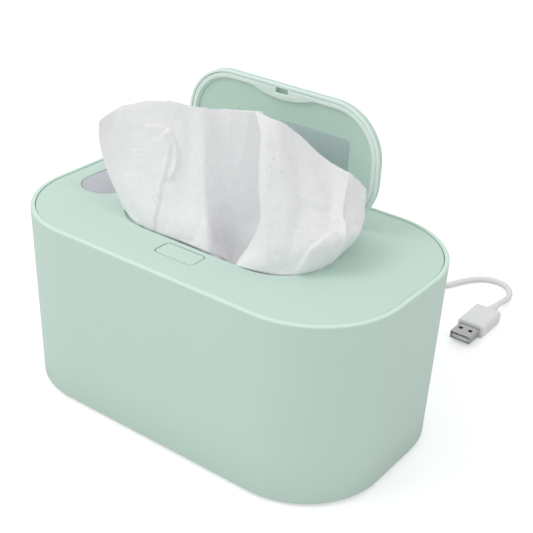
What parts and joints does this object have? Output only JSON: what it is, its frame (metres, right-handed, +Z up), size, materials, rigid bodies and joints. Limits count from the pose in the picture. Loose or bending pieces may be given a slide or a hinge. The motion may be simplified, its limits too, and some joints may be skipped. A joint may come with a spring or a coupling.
{
  "type": "wipe warmer",
  "caption": "Rounded box for warm wet wipes: a lift-off cover with a button-released flip lid and a grey display window, a heated inner tub, and a white lead stored behind it.",
  "frame": {"origin": "centre of the footprint, on the surface that the feet stand on", "axes": "+X along the length, towards the end away from the display window; +Y to the back, where the lid is hinged; -Y to the front, where the button is; +Z up"},
  "size_m": [0.2, 0.2524, 0.1533],
  "materials": {
    "body_plastic": "satin moulded ABS",
    "liner_plastic": "satin moulded ABS, a shade deeper",
    "inner_plastic": "smooth moulded polypropylene",
    "window_plastic": "smoked translucent acrylic, satin",
    "label": "bare plate, satin film",
    "rubber": "moulded, matte",
    "seal": "soft silicone, matte",
    "steel": "zinc-plated, fine grain",
    "plug_steel": "nickel-plated, smooth",
    "contact_metal": "gold-plated contacts",
    "aluminium": "rolled sheet",
    "heater_foil": "polyimide film over etched foil",
    "insulation": "pressed ceramic felt",
    "sensor_bead": "dipped resin bead",
    "wire_jacket": "silicone-jacketed wire",
    "circuit_board": "solder-masked glass-fibre board",
    "chip_plastic": "moulded epoxy",
    "display_plastic": "filtered display face",
    "ribbon": "flat flexible cable",
    "wipe_cloth": "damp nonwoven cloth, dotted emboss",
    "lead_plastic": "white soft-touch PVC"
  },
  "bodies": {
    "base": {"outer_shell": "body_plastic", "base_plate": "body_plastic", "rubber_feet": "rubber", "base_screws": "steel", "inner_tub": "inner_plastic", "heat_spreader": "aluminium", "heater_film": "heater_foil", "insulation_pad": "insulation", "thermistor": "sensor_bead", "thermal_fuse": "aluminium", "heater_leads": "wire_jacket", "main_board": "circuit_board", "board_chips": "chip_plastic", "board_screws": "steel", "usb_socket": "plug_steel", "display_board": "circuit_board", "display_module": "display_plastic", "display_ribbon": "ribbon", "wipe_stack": "wipe_cloth", "plug_c_shell": "plug_steel", "plug_c_body": "lead_plastic", "plug_c_relief": "lead_plastic", "cord_lead": "lead_plastic", "cord_coil": "lead_plastic", "cord_tail": "lead_plastic", "plug_a_relief": "lead_plastic", "plug_a_body": "lead_plastic", "plug_a_shell": "plug_steel", "plug_a_insert": "lead_plastic", "plug_a_contacts": "contact_metal"},
    "cover": {"top_cover": "body_plastic", "display_window": "window_plastic", "cover_gasket": "seal", "hinge_pin": "steel", "lid_spring": "steel", "latch_bracket": "inner_plastic", "bracket_screws": "steel", "latch_pin": "steel", "button_springs": "steel", "wipe": "wipe_cloth"},
    "lid": {"lid_shell": "body_plastic", "lid_liner": "liner_plastic", "lid_label": "label"},
    "button": {"button_cap": "body_plastic"},
    "latch": {"latch_lever": "liner_plastic"}
  },
  "joints": [
    {"name": "cover_lift", "type": "slide", "parent": "base", "child": "cover", "axis": [0, 0, 1], "range_m": [0, 0.05]},
    {"name": "lid_hinge", "type": "hinge", "parent": "cover", "child": "lid", "pos_m": [0, 0.03345, 0.0898], "axis": [1, 0, 0], "range_deg": [0, 90], "stiffness_Nm_per_rad": 0.009, "springref_deg": -34.38, "deforming": ["lid_spring", "wipe"]},
    {"name": "button_press", "type": "slide", "parent": "cover", "child": "button", "axis": [0, 0, -1], "range_m": [0, 0.0009], "stiffness_N_per_m": 600, "springref_m": -0.001, "deforming": ["button_springs"]},
    {"name": "latch_turn", "type": "hinge", "parent": "cover", "child": "latch", "pos_m": [0, -0.031, 0.082], "axis": [1, 0, 0], "range_deg": [0, 7.4]}
  ],
  "couplings": [
    {"joint": "latch_turn", "follows": "button_press", "rad_per_m": 142.86}
  ]
}
